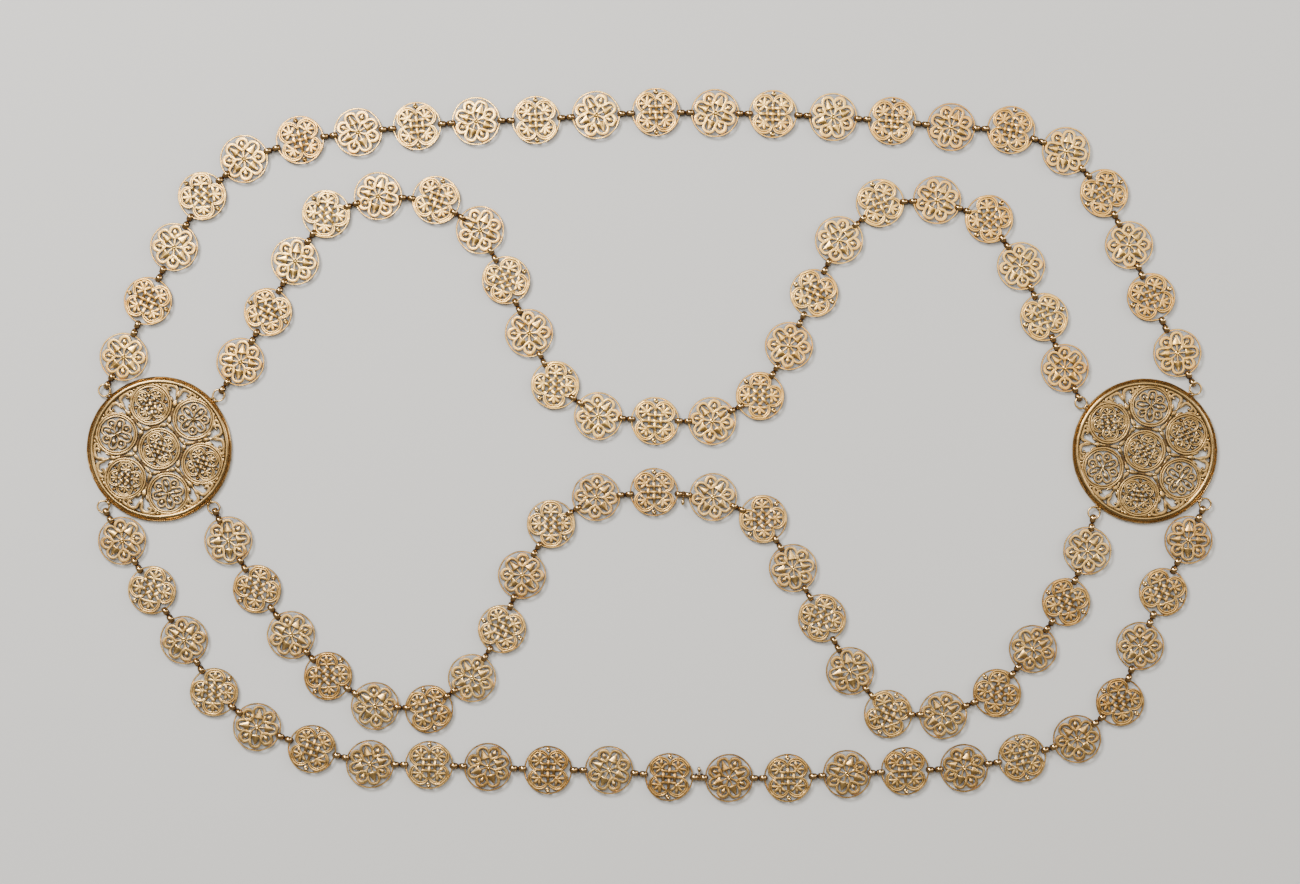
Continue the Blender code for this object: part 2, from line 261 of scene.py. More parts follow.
def addPiece(name, shape, material, replaced, tones=None):
    points, triangles = uneven(shape[0]), shape[1]
    mesh = bpy.data.meshes.new(name)
    mesh.vertices.add(len(points))
    mesh.vertices.foreach_set("co", (points / 1000).astype(np.float32).ravel())
    mesh.loops.add(len(triangles) * 3)
    mesh.loops.foreach_set("vertex_index", triangles.astype(np.int32).ravel())
    mesh.polygons.add(len(triangles))
    mesh.polygons.foreach_set("loop_start", np.arange(0, len(triangles) * 3, 3, dtype=np.int32))
    mesh.update(calc_edges=True)
    mesh.validate()
    if tones is not None:
        layer = mesh.attributes.new("tone", "FLOAT", "POINT")
        layer.data.foreach_set("value", np.asarray(tones, np.float32))
    mesh.shade_smooth()
    mesh.set_sharp_from_angle(angle=math.radians(handWork["sharpAngle"]))
    mesh.materials.append(material)
    piece = bpy.data.objects.new(name, mesh)
    bpy.context.scene.collection.objects.link(piece)
    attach(piece, "root")
    if replaced:
        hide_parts(*replaced)
    print(name, len(triangles), "triangles")
    return piece


# ---- cast strands: cross sections as (across, up) shares of a half width and a crest height
sections = {
    "round": [(-1, 0), (-1, 0.68), (-0.76, 0.93), (0, 1), (0.76, 0.93), (1, 0.68), (1, 0)],
    "twin": [(-1, 0), (-1, 0.68), (-0.86, 0.93), (-0.45, 1), (-0.04, 0.92), (0.08, 0.66), (0.2, 0.9),
             (0.5, 0.97), (0.86, 0.9), (1, 0.66), (1, 0)],
    "ridge": [(-1, 0), (-1, 0.68), (-0.8, 0.89), (0, 1), (0.8, 0.89), (1, 0.68), (1, 0)],
}
leafForm = {"thinnest": 0.08, "lowest": 0.5, "power": 0.3}


# A section carried along a path on the plate: point = path + across * half width * side, and its
# height = crest * up. Open ends are closed by a fan round the section's middle
def strand(path, width, crest, section="round", closed=False):
    path = np.array(path, float)[:, :2]
    if closed:
        path = path[:-1]
    count = len(path)
    width = np.array(width, float) * np.ones(count)
    crest = np.array(crest, float) * np.ones(count)
    ways = np.roll(path, -1, 0) - np.roll(path, 1, 0) if closed else np.gradient(path, axis=0)
    ways /= np.linalg.norm(ways, axis=1)[:, None]
    across = np.stack([-ways[:, 1], ways[:, 0]], 1)
    side, up = np.array(sections[section], float).T
    flatPoints = path[:, None] + across[:, None] * (width[:, None] * side)[..., None]
    points = np.concatenate([flatPoints, (crest[:, None] * up)[..., None]], 2)
    triangles = gridTriangles(count, len(side), closed, True)
    if closed:
        return facingOut((points.reshape(-1, 3), triangles))
    middles = points.mean(1)[[0, -1]]
    here = np.arange(len(side))
    after = (here + 1) % len(side)
    last = (count - 1) * len(side)
    first = count * len(side)
    caps = [
        np.stack([np.full(len(side), first), after, here], 1),
        np.stack([np.full(len(side), first + 1), last + here, last + after], 1),
    ]
    return facingOut((np.concatenate([points.reshape(-1, 3), middles]), np.concatenate([triangles, *caps])))


# A leaf through (x, y, half width) stations: height = crest * (width / widest) ^ power
def leaf(stations, crest, section="ridge"):
    stations = smoothPath(stations, 2)
    width = np.maximum(stations[:, 2], leafForm["thinnest"])
    share = np.clip(width / width.max(), leafForm["lowest"], 1)
    return strand(stations, width, crest * share ** leafForm["power"], section)


# A round boss with a dimple in its top, or a plain ball half sunk in the plate
def boss(place, radius, crest, dimple=True, steps=12):
    top = [(0.55, 1), (0.3, 0.82), (0, 0.72)] if dimple else [(0.5, 0.97), (0, 1.08)]
    section = np.array([(0, 0), (1, 0), (1, 0.45), (0.85, 0.85), *top]) * (radius, crest)
    return moved(turnedDrop(section, steps), (*place, 0))


# ---- the rosette: four arrowhead petals and four bud petals, in millimetres from its middle
rosette = {
    "budPetal": [(10.6, 0), (10.4, 6.8), (9.85, 12.2), (8.95, 16.4), (8.1, 19.8), (7.1, 21.4), (6.1, 18.6),
                 (5.2, 11.5), (4.5, 0)],  # reach and angle
    "arrowPetal": [(10.6, 0), (10.45, 7.4), (9.9, 13.0), (9.05, 17.4), (8.1, 20.6), (7.2, 22.6)],
    "petalWidth": 0.62,  # half of the band
    "budPetalEnd": 0.96,
    "arrowPetalEnd": 0.8,
    "thinPetalEnd": 0.7,
    "swell": (7.4, 10.0),  # reaches between which a petal widens to its end
    "petalCrest": 1.0,
    "arrow": [(3.9, 0, 0.5), (4.1, 0, 0.9), (4.4, 0, 2.25), (5.4, 0, 2.0), (6.7, 0, 1.48), (8.1, 0, 0.88),
              (9.5, 0, 0.2)],  # reach, side and half width
    "slimArrow": [(4.0, 0, 0.6), (4.8, 0, 1.15), (5.8, 0, 1.45), (7.2, 0, 1.2), (8.4, 0, 0.7),
                  (9.5, 0, 0.18)],
    "bud": [(5.5, 0, 0.4), (6.4, 0, 0.55), (7.4, 0, 1.0), (8.3, 0, 0.85), (9.4, 0, 0.2)],
    "leaflet": [(4.8, 0.4, 0.6), (5.7, 1.1, 0.66), (6.5, 1.7, 0.5), (7.1, 2.2, 0.25)],
    "leafCrest": 1.16,
    "leafletCrest": 1.0,
    "arrowSpoke": [(0.3, 0.42), (2.6, 0.42), (4.5, 0.5)],  # reach and half width
    "budSpoke": [(0.3, 0.42), (2.6, 0.52), (3.7, 0.86), (4.8, 1.5)],
    "spokeCrest": 0.88,
    "rayCrest": 1.0,
    "boss": (1.35, 1.2),  # radius and crest
}


# Half widths of a petal's band: petalWidth + (end - petalWidth) * share of the swell passed
def petalWidths(path, end):
    low, high = rosette["swell"]
    share = np.clip((np.hypot(path[:, 0], path[:, 1]) - low) / (high - low), 0, 1)
    return rosette["petalWidth"] + (end - rosette["petalWidth"]) * share


# A medallion's rosette has a boss in its middle. A disc's has thin petals and rays that meet there
def rosetteShapes(thick=1.0, rays=False):
    half = polar(rosette["budPetal"])
    budPetal = smoothPath(np.concatenate([half, half[-2:0:-1] * (1, -1)]), 2, closed=True)
    half = polar(rosette["arrowPetal"])
    arrowPetal = smoothPath(np.concatenate([half[::-1], half[1:] * (1, -1)]), 2)
    leaflet = np.array(rosette["leaflet"])
    if rays:
        budEnd = arrowEnd = rosette["thinPetalEnd"]
        arrow, section, spokeCrest = rosette["slimArrow"], "ridge", rosette["rayCrest"]
    else:
        budEnd, arrowEnd = rosette["budPetalEnd"], rosette["arrowPetalEnd"]
        arrow, section, spokeCrest = rosette["arrow"], "round", rosette["spokeCrest"]
    budWidths = petalWidths(budPetal[:-1], budEnd) * thick
    arrowWidths = petalWidths(arrowPetal, arrowEnd) * thick
    crest, leafCrest, leafletCrest = (rosette[key] for key in ("petalCrest", "leafCrest", "leafletCrest"))
    spokes = [smoothPath(rosette[key], 2) for key in ("arrowSpoke", "budSpoke")]
    arrowShapes = [strand(arrowPetal, arrowWidths, crest), leaf(arrow, leafCrest, section)]
    budShapes = [
        strand(budPetal, budWidths, crest, "round", True),
        leaf(rosette["bud"], leafCrest),
        leaf(leaflet, leafletCrest),
        leaf(leaflet * (1, -1, 1), leafletCrest),
    ]
    shapes = [] if rays else [boss((0, 0), *rosette["boss"])]
    for step in range(8):
        spoke = spokes[step % 2]
        petalShapes = budShapes if step % 2 else arrowShapes
        petalShapes = petalShapes + [strand(spoke * (1, 0), spoke[:, 1] * thick, spokeCrest, section)]
        shapes += [copies(one, [(0, 0)], [45 * step]) for one in petalShapes]
    return shapes


# ---- the knot: four lobes of doubled band, palmettes in them, and strands woven in the middle
knot = {
    "lobe": [(5.3, 0.25), (6.5, 0.42), (7.7, 0.85), (8.7, 1.75), (9.4, 3.1), (9.6, 4.7), (9.25, 6.25),
             (8.4, 7.35)],
    "lobeWidth": [0.3, 0.5, 0.76, 0.92, 0.99, 0.99, 0.99, 0.99],
    "lobeCrest": 1.0,
    "strandReach": (7.4, 4.4),  # of the middle strand and of the outer ones
    "strandSteps": (27, 17),
    "strandTurn": 0.95,
    "turnLength": 1.4,  # the outer strands turn out into the palmettes over this much
    "turnThinning": 0.3,
    "weave": 3.05,  # from strand to strand
    "weaveHeight": 0.22,
    "strandWidth": 0.78,
    "strandCrest": 0.86,
    "leaves": [
        [(4.6, 4.6, 0.8), (5.7, 5.7, 0.8), (6.6, 6.6, 0.88), (7.4, 7.4, 0.5)],
        [(4.6, 4.5, 0.8), (5.9, 4.5, 0.74), (7.3, 4.4, 0.86), (8.6, 4.2, 0.5)],
        [(4.5, 3.9, 0.8), (5.5, 3.2, 0.7), (6.4, 2.3, 0.84), (6.9, 1.2, 0.45)],
    ],
    "leafCrest": 1.12,
    "palmHeart": {"place": (4.35, 4.35), "radius": 0.9, "crest": 1.0},
    "boss": {"reach": 10.5, "radius": 1.32, "crest": 1.15},
}


# A strand passes over and under the others: height = strandCrest + weaveHeight cos(pi * run / weave),
# and a strand across it has the opposite sign
def knotShapes(bossAngles, thick=1.0):
    half = np.column_stack([knot["lobe"], np.array(knot["lobeWidth"]) * thick])
    lobe = smoothPath(np.concatenate([half, half[::-1][:, [1, 0, 2]]]), 2)
    heart, granule = knot["palmHeart"], knot["boss"]
    quarter = [
        strand(lobe, lobe[:, 2], knot["lobeCrest"], "twin"),
        boss(heart["place"], heart["radius"], heart["crest"], False, 8),
    ]
    for number, stations in enumerate(knot["leaves"]):
        stations = np.array(stations)
        quarter.append(leaf(stations, knot["leafCrest"]))
        if number:  # the first leaf lies on the quarter's diagonal, the others come in pairs
            quarter.append(leaf(stations[:, [1, 0, 2]], knot["leafCrest"]))
    shapes = [copies(one, [(0, 0)], [turn]) for turn in range(0, 360, 90) for one in quarter]
    for row in (-1, 0, 1):
        reach = knot["strandReach"][abs(row)]
        run = np.linspace(-1, 1, knot["strandSteps"][abs(row)]) * reach
        wave = knot["weaveHeight"] * np.cos(np.pi * run / knot["weave"]) * (1 - 2 * abs(row))
        turnStart = knot["strandReach"][1] - knot["turnLength"]
        last = np.clip(np.abs(run) - turnStart, 0, knot["turnLength"]) / knot["turnLength"] * abs(row)
        line = np.stack([run, row * (knot["weave"] + knot["strandTurn"] * last ** 2)], 1)
        width = knot["strandWidth"] * thick * (1 - knot["turnThinning"] * last)
        shapes.append(strand(line, width, knot["strandCrest"] + wave))
        shapes.append(strand(line[:, ::-1], width, knot["strandCrest"] - wave))
    shapes += [
        boss(granule["reach"] * toward(angle), granule["radius"], granule["crest"]) for angle in bossAngles
    ]
    return shapes


# ---- a medallion: ornament inside a round wire
medallion = {
    "rimMiddle": 12.25,
    "rimWire": 0.45,
    "rimSteps": 48,
    "wireSteps": 8,
    "backHeight": 1.92,
    "granules": (90, 270),  # angles, clear of the links
}


# A wire ring: radius = middle + wire cos(turn), height = middleHeight + wire sin(turn)
def wireRing(middle, wire, turn, steps):
    section = [middle + wire * np.cos(turn), layout["middleHeight"] + wire * np.sin(turn)]
    return turnedShape(np.stack(section, 1), steps)


def makeMedallion(shapes):
    wireTurn = 360 / medallion["wireSteps"]
    turn = np.radians(np.arange(medallion["wireSteps"]) * wireTurn + wireTurn / 2)
    rim = wireRing(medallion["rimMiddle"], medallion["rimWire"], turn, medallion["rimSteps"])
    return joinShapes([moved(joinShapes(shapes), (0, 0, medallion["backHeight"])), rim])


rosetteShape = makeMedallion(rosetteShapes())
knotShape = makeMedallion(knotShapes(medallion["granules"]))
print("rosette", len(rosetteShape[1]), "knot", len(knotShape[1]), "triangles")

# ---- a link: two upright eyes joined by a ribbed collar
link = {
    "eyeCentre": 2.42,
    "hole": 1.68,  # radius
    "width": 2.75,
    "eyeSection": [(0, 0.7), (0, -0.7), (0.14, -1), (0.39, -0.72), (0.6, -0.36), (0.66, 0), (0.6, 0.36),
                   (0.39, 0.72), (0.14, 1)],  # out from the hole, and share of half the width
    "eyeSteps": 28,
    "collar": [(0, -0.75), (0.85, -0.75), (1.0, -0.5), (0.8, -0.24), (1.1, 0), (0.8, 0.24), (1.0, 0.5),
               (0.85, 0.75), (0, 0.75)],
    "collarSteps": 14,
    "grip": 12.27,  # from a medallion's middle to where an eye holds its rim
    "length": 9.6,
    "endReach": 16.2,  # from a wire ring's middle to the end medallion's, without play
}


def eyeShape():
    across = link["width"] / 2
    section = [(link["hole"] + out, across * side) for out, side in link["eyeSection"]]
    return laidAlong(turnedShape(section, link["eyeSteps"]), "y")


def linkShape():
    eye = eyeShape()
    collar = laidAlong(turnedDrop(link["collar"], link["collarSteps"]), "x")
    eyes = [moved(eye, (side * link["eyeCentre"], 0, 0)) for side in (-1, 1)]
    return moved(joinShapes([*eyes, collar]), (0, 0, layout["middleHeight"]))


# ---- materials. A value is for the socket of its name, or for the socket of its number, as in _2
def addNode(tree, kind, settings=(), **values):
    node = tree.nodes.new(kind)
    for key, value in dict(settings).items():
        setattr(node, key, value)
    for key, value in values.items():
        socket = node.inputs[int(key[1:]) if key[0] == "_" else key]
        if isinstance(value, bpy.types.NodeSocket):
            tree.links.new(value, socket)
        else:
            socket.default_value = value
    return node


# first * (1 - share) + second * share
def mixColour(tree, share, first, second):
    node = addNode(tree, "ShaderNodeMix", {"data_type": "RGBA"})
    for index, value in ((0, share), (6, first), (7, second)):
        if isinstance(value, bpy.types.NodeSocket):
            tree.links.new(value, node.inputs[index])
        else:
            node.inputs[index].default_value = value
    return node.outputs[2]


def combine(tree, operation, first, second, clamp=False):
    settings = {"operation": operation, "use_clamp": clamp}
    return addNode(tree, "ShaderNodeMath", settings, _0=first, _1=second).outputs[0]


# From start at low to end at high, straight or in a soft S
def mapRange(tree, value, low, high, start=0.0, end=1.0, kind="LINEAR"):
    settings = {"interpolation_type": kind}
    node = addNode(tree, "ShaderNodeMapRange", settings, _0=value, _1=low, _2=high, _3=start, _4=end)
    return node.outputs[0]


def smoothStep(tree, value, low, high):
    return mapRange(tree, value, low, high, kind="SMOOTHSTEP")


# The texture's spread round its middle, times a strength
def spread(tree, texture, strength):
    return combine(tree, "MULTIPLY", combine(tree, "SUBTRACT", texture, 0.5), strength)


wearAndPaintedLight = {
    "slow": {"Scale": 70.0, "Detail": 3.0},  # noises, in waves a metre
    "fine": {"Scale": 900.0, "Detail": 4.0, "Roughness": 0.65},
    "speck": {"Scale": 2600.0, "Detail": 2.0},
    "fineRub": 0.5,  # how far the fine noise breaks up the rubbed edge
    "toneRub": 0.06,
    "bareAndLit": (0.3, 0.92),  # rubAndShade at which patina and painted shade start to go, and are gone
    "shineStart": 0.22,
    "slowShine": 0.4,
    "slowRange": (0.35, 0.68),
    "toneShine": 0.26,
    # painted highlight: how far the highest crests are lightened towards Bright
    "crestHighlight": 0.3,
    "crestRange": (0.5, 1.0),
    "fineShine": 0.7,
    "patinaRoughness": 0.62,
    "fineRoughness": 0.22,
    "patinaMetal": 0.45,
    "metalFrom": 0.6,
    "fineBump": 0.7,
    "speckBump": 0.3,
    "bumpStrength": 0.35,
    "bumpDistance": 0.00012,
}


# Worn gold with painted light: dark patina low in the relief and on its walls, deepened there as painted
# shade;
# crests rubbed bright and lightened further as a painted highlight; each medallion has a tone of its own,
# and the colour drifts slowly over the piece
def goldGroup():
    tree = bpy.data.node_groups.new("wornAndPaintedLightGold", "ShaderNodeTree")
    face = tree.interface
    for name, kind, start in (
        ("Bright", "NodeSocketColor", (1, 0.8, 0.5, 1)), ("Worn", "NodeSocketColor", (0.8, 0.55, 0.28, 1)),
        ("Patina", "NodeSocketColor", (0.2, 0.1, 0.04, 1)), ("Low", "NodeSocketFloat", 0.0019),
        ("High", "NodeSocketFloat", 0.0031), ("Grain", "NodeSocketFloat", 1),
        ("Polish", "NodeSocketFloat", 0.24),
    ):
        socket = face.new_socket(name=name, in_out="INPUT", socket_type=kind)
        socket.default_value = start
    for name, kind in (("Colour", "NodeSocketColor"), ("Roughness", "NodeSocketFloat"),
                       ("Metallic", "NodeSocketFloat"), ("Normal", "NodeSocketVector")):
        face.new_socket(name=name, in_out="OUTPUT", socket_type=kind)
    inside = addNode(tree, "NodeGroupInput")
    place = addNode(tree, "ShaderNodeTexCoord").outputs["Object"]
    tone = addNode(tree, "ShaderNodeAttribute", {"attribute_name": "tone"}).outputs["Fac"]
    height = addNode(tree, "ShaderNodeSeparateXYZ", _0=place).outputs[2]
    lift = mapRange(tree, height, inside.outputs["Low"], inside.outputs["High"])
    slow, fine, speck = (
        addNode(tree, "ShaderNodeTexNoise", Vector=place, **wearAndPaintedLight[name]).outputs["Fac"]
        for name in ("slow", "fine", "speck")
    )
    rubAndShade = combine(tree, "ADD", lift, spread(tree, fine, wearAndPaintedLight["fineRub"]))
    rubAndShade = combine(tree, "ADD", rubAndShade, combine(tree, "MULTIPLY", tone, wearAndPaintedLight["toneRub"]))
    # patina and painted shade: low in the relief and on its walls the colour goes to Patina, higher up to
    # bare gold
    bareAndLit = smoothStep(tree, rubAndShade, *wearAndPaintedLight["bareAndLit"])
    drift = smoothStep(tree, slow, *wearAndPaintedLight["slowRange"])
    shine = combine(tree, "MULTIPLY_ADD", drift, wearAndPaintedLight["slowShine"])
    shine.node.inputs[2].default_value = wearAndPaintedLight["shineStart"]
    shine = combine(tree, "ADD", shine, combine(tree, "MULTIPLY", tone, wearAndPaintedLight["toneShine"]))
    # painted highlight on the crests
    crest = smoothStep(tree, rubAndShade, *wearAndPaintedLight["crestRange"])
    shine = combine(tree, "ADD", shine, combine(tree, "MULTIPLY", crest, wearAndPaintedLight["crestHighlight"]))
    shine = combine(tree, "ADD", shine, spread(tree, fine, wearAndPaintedLight["fineShine"]), True)
    body = mixColour(tree, shine, inside.outputs["Worn"], inside.outputs["Bright"])
    colour = mixColour(tree, bareAndLit, inside.outputs["Patina"], body)
    rough = mapRange(tree, bareAndLit, 0.0, 1.0, wearAndPaintedLight["patinaRoughness"], inside.outputs["Polish"])
    rough = combine(tree, "ADD", rough, spread(tree, fine, wearAndPaintedLight["fineRoughness"]), True)
    metal = mapRange(tree, bareAndLit, 0.0, wearAndPaintedLight["metalFrom"], wearAndPaintedLight["patinaMetal"], 1.0)
    tall = combine(tree, "ADD", combine(tree, "MULTIPLY", fine, wearAndPaintedLight["fineBump"]),
                   combine(tree, "MULTIPLY", speck, wearAndPaintedLight["speckBump"]))
    bump = addNode(tree, "ShaderNodeBump", Strength=wearAndPaintedLight["bumpStrength"], Distance=wearAndPaintedLight["bumpDistance"],
                   Height=combine(tree, "MULTIPLY", tall, inside.outputs["Grain"])).outputs[0]
    addNode(tree, "NodeGroupOutput", Colour=colour, Roughness=rough, Metallic=metal, Normal=bump)
    return tree


# Each finish: its colours, the heights in metres between which patina and painted shade give way to bare
# gold, how grainy it is, and its roughness where it is polished. lowerShadedGold and discShadedGold are
# darker copies of medallionGold, as painted shade
golds = {
    "medallionGold": {
        "Bright": (1.0, 0.645, 0.205, 1), "Worn": (0.7, 0.355, 0.085, 1), "Patina": (0.05, 0.022, 0.008, 1),
        "Low": 0.0023, "High": 0.00282, "Grain": 1.0, "Polish": 0.24,
    },
    # painted shade: a darker copy of medallionGold for the lower chains, the wire rings and the pin
    "lowerShadedGold": {
        "Bright": (0.88, 0.58, 0.22, 1), "Worn": (0.58, 0.31, 0.09, 1), "Patina": (0.045, 0.02, 0.007, 1),
        "Low": 0.0023, "High": 0.00282, "Grain": 1.0, "Polish": 0.24,
    },
    # painted shade: darker again over the discs, and its low heights darken the rim's groove and the webs
    "discShadedGold": {
        "Bright": (0.54, 0.36, 0.15, 1), "Worn": (0.32, 0.185, 0.065, 1), "Patina": (0.05, 0.023, 0.008, 1),
        "Low": 0.0009, "High": 0.0018, "Grain": 1.0, "Polish": 0.24,
    },
    # painted highlight: a dark brown body, with bare bright gold only near the top of each eye
    "wireGold": {
        "Bright": (0.86, 0.56, 0.24, 1), "Worn": (0.42, 0.22, 0.075, 1), "Patina": (0.045, 0.02, 0.008, 1),
        "Low": 0.0025, "High": 0.0046, "Grain": 0.5, "Polish": 0.11,
    },
}


def goldMaterial(name, group):
    material = bpy.data.materials.new(name)
    material.use_nodes = True
    tree = material.node_tree
    shader = tree.nodes["Principled BSDF"]
    effect = addNode(tree, "ShaderNodeGroup", {"node_tree": group}, **golds[name])
    for output, socket in (("Colour", "Base Color"), ("Roughness", "Roughness"), ("Metallic", "Metallic"),
                           ("Normal", "Normal")):
        tree.links.new(effect.outputs[output], shader.inputs[socket])
    return material


wornAndPaintedLightGold = goldGroup()
finishes = {name: goldMaterial(name, wornAndPaintedLightGold) for name in golds}
print("finishes", *finishes)

# ---- the chains as they lie, hung on the wire rings' own middles in the CAD
ringMiddles = {
    (chain, side): np.mean(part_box("ring_" + chain + "_" + side), 0)[:2] * 1000
    for chain in chains for side in layout["discs"]
}


def ringCentre(chain, side):
    return onPicture(layout["discs"][side]) + toward(chains[chain][side]["ringAngle"]) * layout["ringReach"]


# The part stands on its own middle, which isn't quite the picture's
shift = np.mean([ringMiddles[key] - ringCentre(*key) for key in ringMiddles], 0)


def medallionPlaces(chain):
    ends = {}
    for side in layout["discs"]:
        end = chains[chain][side]
        reach = link["endReach"] + end["play"] * link["length"]
        ends[side] = ringMiddles[chain, side] + toward(end["heading"]) * reach
    laid = [onPicture(place) + shift for place in chains[chain]["stops"]]
    return [ends["left"], *laid, ends["right"]]


# A medallion lies halfway between the ways to its two neighbours
def medallionHeadings(chain, places):
    stops = [ringMiddles[chain, "left"], *places, ringMiddles[chain, "right"]]
    ways = [unit(after - before) for before, after in zip(stops, stops[1:])]
    return [headingOf(before + after) for before, after in zip(ways, ways[1:])]


# A rosette lies with its arrowheads 22.5 or 67.5 degrees off the chain: digit 0 or 1 of "petals"
def petalTurn(chain, number):
    return 22.5 + 45 * int(chains[chain]["petals"][number // 2])


# Even numbers are rosettes, and odd ones are knots
def medallionRun(chain, run, places, headings):
    shapes, tones = [], []
    for first, prototype in enumerate((rosetteShape, knotShape)):
        chosen = [k for k in run if k % 2 == first]
        tones.append(np.repeat(random.uniform(-1, 1, len(chosen)), len(prototype[0])))
        turns = [headings[k] + (petalTurn(chain, k) if first == 0 else 0) for k in chosen]
        shapes.append(copies(prototype, [places[k] for k in chosen], turns))
    return joinShapes(shapes), np.concatenate(tones)


# Each link lies midway between the two rims, or the rim and the ring, that its eyes hold
def linkRun(stops):
    middles, ways = [], []
    for start, stop, startReach, stopReach in stops:
        way = unit(stop - start)
        middles.append((start + way * startReach + stop - way * stopReach) / 2)
        ways.append(headingOf(way))
    return copies(linkPrototype, middles, ways)


def makeChain(chain):
    places = medallionPlaces(chain)
    headings = medallionHeadings(chain, places)
    half, grip = layout["leftCount"], link["grip"]
    material = finishes["lowerShadedGold" if chain.startswith("lower") else "medallionGold"]
    for side, run, end in (("left", range(half), 0), ("right", range(half, len(places)), len(places) - 1)):
        node = chain + "_chain_" + side
        shape, tones = medallionRun(chain, run, places, headings)
        addPiece(node + "_medallions", shape, material, [node], tones)
        stops = [(places[k], places[k + 1], grip, grip) for k in run if k + 1 in run]
        stops.append((places[end], ringMiddles[chain, side], grip, wireRings["radius"]))
        if "pinSide" not in chains[chain] and side == "right":
            stops.append((places[half], places[half - 1], grip, grip))
        addPiece(node + "_links", linkRun(stops), finishes["wireGold"], [])
    if "pinSide" in chains[chain]:
        makeClasp(chain, places[half - 1], places[half])


# ---- a clasp: an eye on either side, knuckles between them, and a pin with a drop-shaped head
clasp = {
    "knuckle": [(0, -1), (0.96, -1), (1.2, -0.5), (1.2, 0.5), (0.96, 1), (0, 1)],  # radius, half widths
    "knuckleWidth": 0.94,
    "knuckleStep": 1.06,
    "knuckleSteps": 18,
    "eyeOverlap": 0.6,
    "granules": [(0.5, (x, y, 1.0)) for x in (-1.05, 1.05) for y in (-0.95, 0.95)],  # radius and place
    "pinGranules": [(0.62, (x, 1.75, 0.3)) for x in (-1.5, 1.4)],  # where the pin points up the picture
    "pin": [(0, -1.85), (0.5, -1.85), (0.5, 1.6), (0.42, 1.8), (0.5, 2.3), (0.42, 2.75), (0.72, 3.3),
            (0.9, 4.0), (0.86, 4.7), (0.6, 5.3), (0.3, 5.6), (0, 5.72)],  # radius and place along it
    "pinSteps": 16,
}


def makeClasp(chain, start, stop):
    way = unit(stop - start)
    place, heading = (start + stop) / 2, headingOf(way)
    span = np.linalg.norm(stop - start) / 2 - link["grip"]
    reach = max(link["eyeCentre"], span - link["hole"] + clasp["eyeOverlap"])
    eye, half = eyeShape(), clasp["knuckleWidth"] / 2
    drum = [(radius, across * half) for radius, across in clasp["knuckle"]]
    drum = laidAlong(turnedDrop(drum, clasp["knuckleSteps"]), "y")
    shapes = [moved(eye, (side * reach, 0, 0)) for side in (-1, 1)]
    shapes += [moved(drum, (0, step * clasp["knuckleStep"], 0)) for step in (-1, 0, 1)]
    spots = clasp["granules"] + (clasp["pinGranules"] if chains[chain]["pinSide"] > 0 else [])
    shapes += [moved(ball(radius, 10), spot) for radius, spot in spots]
    body = moved(joinShapes(shapes), (0, 0, layout["middleHeight"]))
    body = copies(body, [place], [heading])
    addPiece("clasp_" + chain + "_body", body, finishes["wireGold"], [])
    pin = laidAlong(turnedDrop(clasp["pin"], clasp["pinSteps"]), "x")
    pin = moved(pin, (0, 0, layout["middleHeight"]))
    pin = copies(pin, [place], [heading + 90 * chains[chain]["pinSide"]])
    name = "clasp_pin_" + chain
    addPiece(name + "_drop", pin, finishes["lowerShadedGold"], [name])


# The wire rings' sizes, to which the end links reach too
wireRings = {"radius": 3.0, "wire": 0.5, "wireSteps": 10, "steps": 40}

linkPrototype = linkShape()
for chain in chains:
    makeChain(chain)

# ---- the large discs: a turned rim, seven roundels, and leaves between them
disc = {
    "roundelReach": 23.7,
    "knots": {0: 0, 1: 0, 3: 120, 5: 240},  # which roundels, from the middle one on, and their turns
    "rosettes": {2: 60, 4: 180, 6: 300},
    "ringMiddle": 9.98,
    "ringWidth": 1.1,
    "ringCrest": 1.5,
    "inside": (0.75, 0.75, 1.25),  # size of a roundel's ornament beside a medallion's
    "insideThickness": 1.18,
    "backHeight": 0.6,
    "web": 0.75,  # how high the webs between roundels are
    "rim": [(37.5, 0), (37.95, 0.4), (38.05, 1.5), (37.9, 2.2), (37.62, 2.42), (37.32, 2.2), (37.2, 1.75),
            (37.1, 1.5), (37.0, 1.5), (36.9, 1.85), (36.55, 2.5), (36.0, 2.85), (35.3, 2.95), (34.7, 2.75),
            (34.3, 2.2), (34.1, 1.2), (34.3, 0)],
    "rimSteps": 160,
    "granule": {"radius": 0.95, "across": 0.98, "up": 2.3},  # two on each lug
    "lugReach": 38.7,
}


def mirrored(shape):
    return shape[0] * (1, -1, 1), shape[1][:, ::-1]


# Half widths along a tendril: start + (middle - start) * sin(pi * share) - 0.15 * share
def tendril(count, start, middle):
    share = np.linspace(0, 1, count)
    return start + (middle - start) * np.sin(np.pi * share) - 0.15 * share


